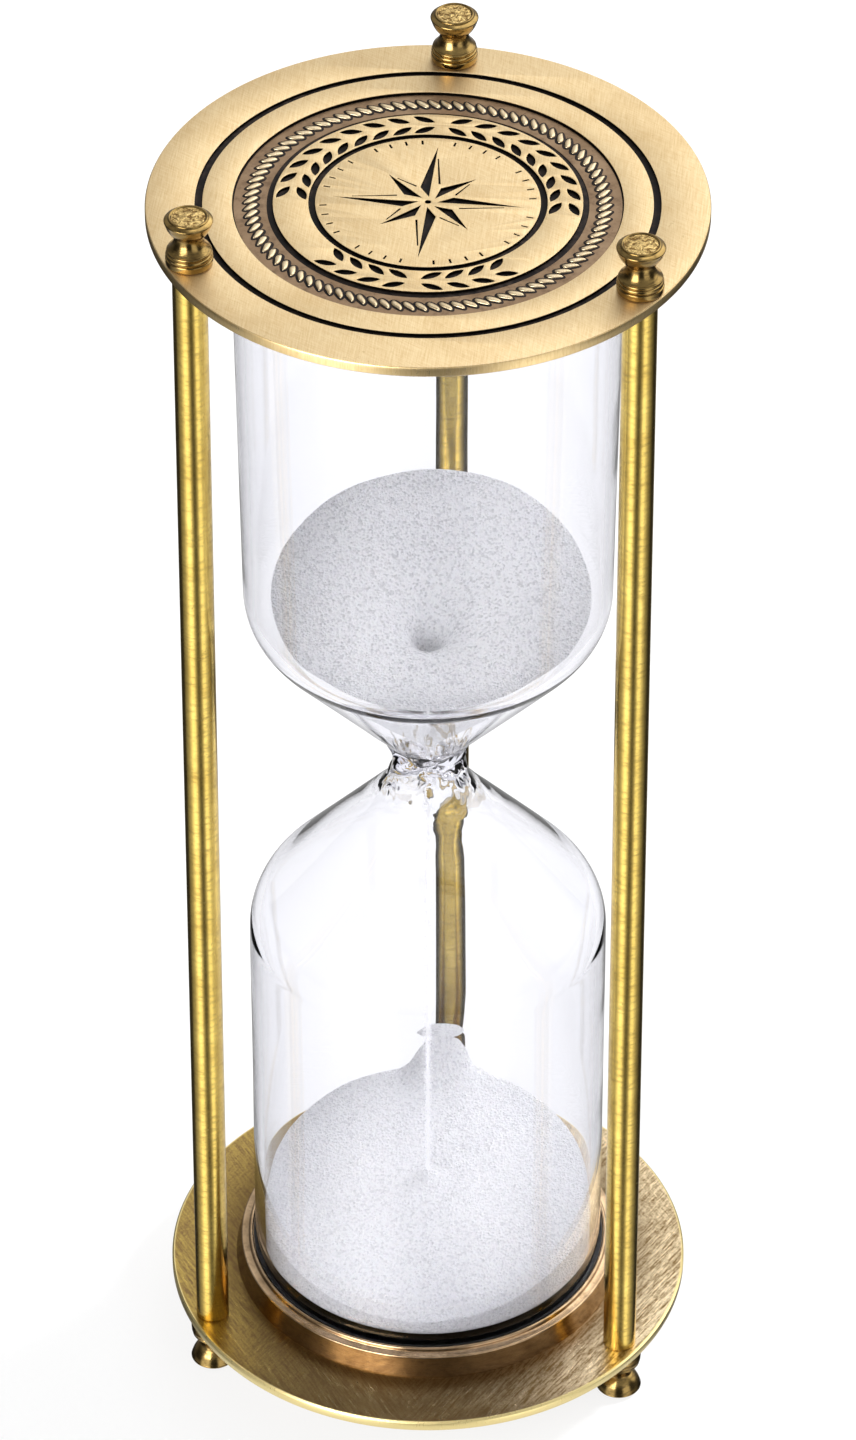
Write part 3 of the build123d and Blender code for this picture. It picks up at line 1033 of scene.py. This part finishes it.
def studio_world():
    """Soft light from all round, in three belts of bands, and a bright spot behind on the right.

    Light that comes through the glass sees a plain backdrop, grey up to the horizon and white above."""
    world = bpy.data.worlds.new("studio")
    bpy.context.scene.world = world
    world.use_nodes = True
    tree = world.node_tree

    def node(kind, inputs, **settings):
        made = tree.nodes.new(kind)
        for key, value in settings.items():
            setattr(made, key, value)
        for key, value in inputs.items():
            if isinstance(value, bpy.types.NodeSocket):
                tree.links.new(value, made.inputs[key])
            else:
                made.inputs[key].default_value = value
        return made

    def ramp(factor, stops):
        made = node("ShaderNodeValToRGB", {"Fac": factor})
        made.color_ramp.interpolation = "EASE"
        elements = made.color_ramp.elements
        elements.remove(elements[-1])
        for index, (degrees, grey) in enumerate(stops):
            position = (degrees + 180) / 360
            element = elements[0] if index == 0 else elements.new(position)
            element.position = position
            element.color = (grey, grey, grey, 1)
        return made.outputs["Color"]

    def between(value, low, high):
        inputs = {"Value": value, "From Min": low, "From Max": high}
        return node("ShaderNodeMapRange", inputs, interpolation_type="SMOOTHSTEP").outputs["Result"]

    def blend(factor, first, second):
        made = node("ShaderNodeMix", {0: factor, 6: first, 7: second}, data_type="RGBA")
        return made.outputs[2]

    direction = node("ShaderNodeTexCoord", {}).outputs["Generated"]
    parts = node("ShaderNodeSeparateXYZ", {"Vector": direction})
    front = node("ShaderNodeMath", {0: parts.outputs["Y"], 1: -1.0}, operation="MULTIPLY")
    angle = node("ShaderNodeMath", {0: parts.outputs["X"], 1: front.outputs["Value"]}, operation="ARCTAN2")
    half_turn = {"Value": angle.outputs["Value"], "From Min": -math.pi, "From Max": math.pi}
    turn = node("ShaderNodeMapRange", half_turn)
    compass = turn.outputs["Result"]
    rise = parts.outputs["Z"]
    below = blend(between(rise, -0.79, -0.72), (0.9, 0.9, 0.9, 1), ramp(compass, LOW_BANDS))
    light = blend(between(rise, -0.42, -0.16), below, ramp(compass, HORIZON_BANDS))
    light = blend(between(rise, 0.22, 0.5), light, ramp(compass, HIGH_BANDS))
    blob_direction = Vector(KEY_DIRECTION).normalized()
    facing = node("ShaderNodeVectorMath", {0: direction, 1: blob_direction}, operation="DOT_PRODUCT")
    blob = between(facing.outputs["Value"], math.cos(math.radians(34)), math.cos(math.radians(14)))
    light = blend(blob, light, (KEY_STRENGTH, KEY_STRENGTH, KEY_STRENGTH, 1))
    through_glass = node("ShaderNodeLightPath", {}).outputs["Is Transmission Ray"]
    backdrop = blend(between(rise, 0.0, 0.35), (0.25, 0.25, 0.28, 1), (0.95, 0.95, 0.98, 1))
    light = blend(through_glass, light, backdrop)
    tree.links.new(light, tree.nodes["Background"].inputs["Color"])


def area_light(name, place, target, size, power, mirrored):
    """A square softbox aimed at a point, which polished metal may or may not mirror."""
    light = bpy.data.lights.new(name, "AREA")
    light.size = size
    light.energy = power
    holder = placed(name, light)
    holder.location = place
    holder.rotation_euler = (Vector(target) - Vector(place)).to_track_quat("-Z", "Y").to_euler()
    holder.visible_glossy = mirrored


def studio():
    """Floor, world light and two softboxes."""
    mesh = bpy.data.meshes.new("floor")
    reach = 3.0
    corners = [(-reach, -reach, 0), (reach, -reach, 0), (reach, reach, 0), (-reach, reach, 0)]
    mesh.from_pydata(corners, [], [(0, 1, 2, 3)])
    floor = placed("floor", mesh)
    mesh.materials.append(floor_material())
    floor.visible_glossy = False
    studio_world()
    centre = (0, 0, 0.13)
    area_light("key_softbox", (0.86, 0.74, 0.8), centre, 0.24, 42, False)
    area_light("fill_softbox", (-0.6, -1.1, 0.7), centre, 0.8, 14, True)
    bpy.context.scene.view_settings.view_transform = "Standard"


def camera():
    """A long lens, well above the object and a little to its right."""
    azimuth = math.radians(6.0)
    away = 23.318 * plate_radius
    rise = 21.126 * plate_radius
    data = bpy.data.cameras.new("camera")
    data.lens = 200.6
    data.clip_start = 0.05
    data.clip_end = 30
    holder = placed("camera", data)
    holder.location = (away * math.sin(azimuth), -away * math.cos(azimuth), bottom_plate_top + rise)
    holder.rotation_euler = (math.radians(90 - 38.42), 0, azimuth)
    bpy.context.scene.camera = holder


# ---- the object ----

# heights below which the walls of the engraving are painted near black as shade
top_walls = (top_plate_top - 0.12 * MM, top_plate_top - 0.05 * MM)
bottom_walls = (bottom_plate_low + 0.12 * MM, bottom_plate_low + 0.05 * MM)
bright_brass = ((0.92, 0.745, 0.46), (0.75, 0.55, 0.285), (0.55, 0.36, 0.15), 0.48)
face_brass = brushed_brass("face_brass", *bright_brass, top_walls)
under_face_brass = brushed_brass("under_face_brass", *bright_brass, bottom_walls)
rim_brass = brushed_brass("rim_brass", (0.86, 0.67, 0.36), (0.7, 0.5, 0.23), (0.5, 0.33, 0.13), 0.3)
bottom_brass = brushed_bronze()
band_brass = turned_brass("band_brass", (0.36, 0.245, 0.15), (0.25, 0.16, 0.09), (0.1, 0.06, 0.04), 0.4, 0.6)
rope_brass = brushed_brass("rope_brass", (0.9, 0.76, 0.52), (0.68, 0.52, 0.31), (0.3, 0.2, 0.11), 0.36)
pillar_colours = ((0.78, 0.57, 0.15), (0.58, 0.4, 0.09), (0.2, 0.125, 0.03))
pillar_brass = turned_brass("pillar_brass", *pillar_colours, 0.17, 0.5)
finial_colours = ((0.42, 0.285, 0.1), (0.22, 0.14, 0.045), (0.03, 0.018, 0.009))
finial_brass = turned_brass("finial_brass", *finial_colours, 0.15, 0.8)
dish_brass = hammered_brass()
ring_colours = ((0.62, 0.44, 0.27), (0.4, 0.27, 0.15), (0.07, 0.04, 0.022))
ring_brass = turned_brass("ring_brass", *ring_colours, 0.13, 0.5)
filling = black_enamel()

decor = (band_brass, rope_brass, filling)
plate("top_plate", top_plate_low, False, (rim_brass, face_brass, *decor))
plate("bottom_plate", bottom_plate_top, True, (bottom_brass, under_face_brass, *decor))
rod_steel = steel()
for side in SIDES:
    pillar(side, pillar_brass)
    finials(side, finial_brass, dish_brass)
    dress("tie_rod_" + side, rod_steel)
black_rubber = rubber("black_rubber", (0.008, 0.008, 0.009))
glass_ring("bottom_glass_ring", lower_radius, bottom_plate_top, False, ring_brass)
glass_ring("top_glass_ring", upper_end_radius, top_plate_low, True, ring_brass)
gasket("bottom_gasket", lower_radius, bottom_plate_top, False, black_rubber)
gasket("top_gasket", upper_end_radius, top_plate_low, True, black_rubber)
for node in ("bottom_cushion_pad", "top_cushion_pad"):
    dress(node, felt())
dress("fill_stopper", rubber("stopper_rubber", (0.2, 0.18, 0.16)))
glass_vessel(clear_glass())
sand(sand_material())
studio()
camera()
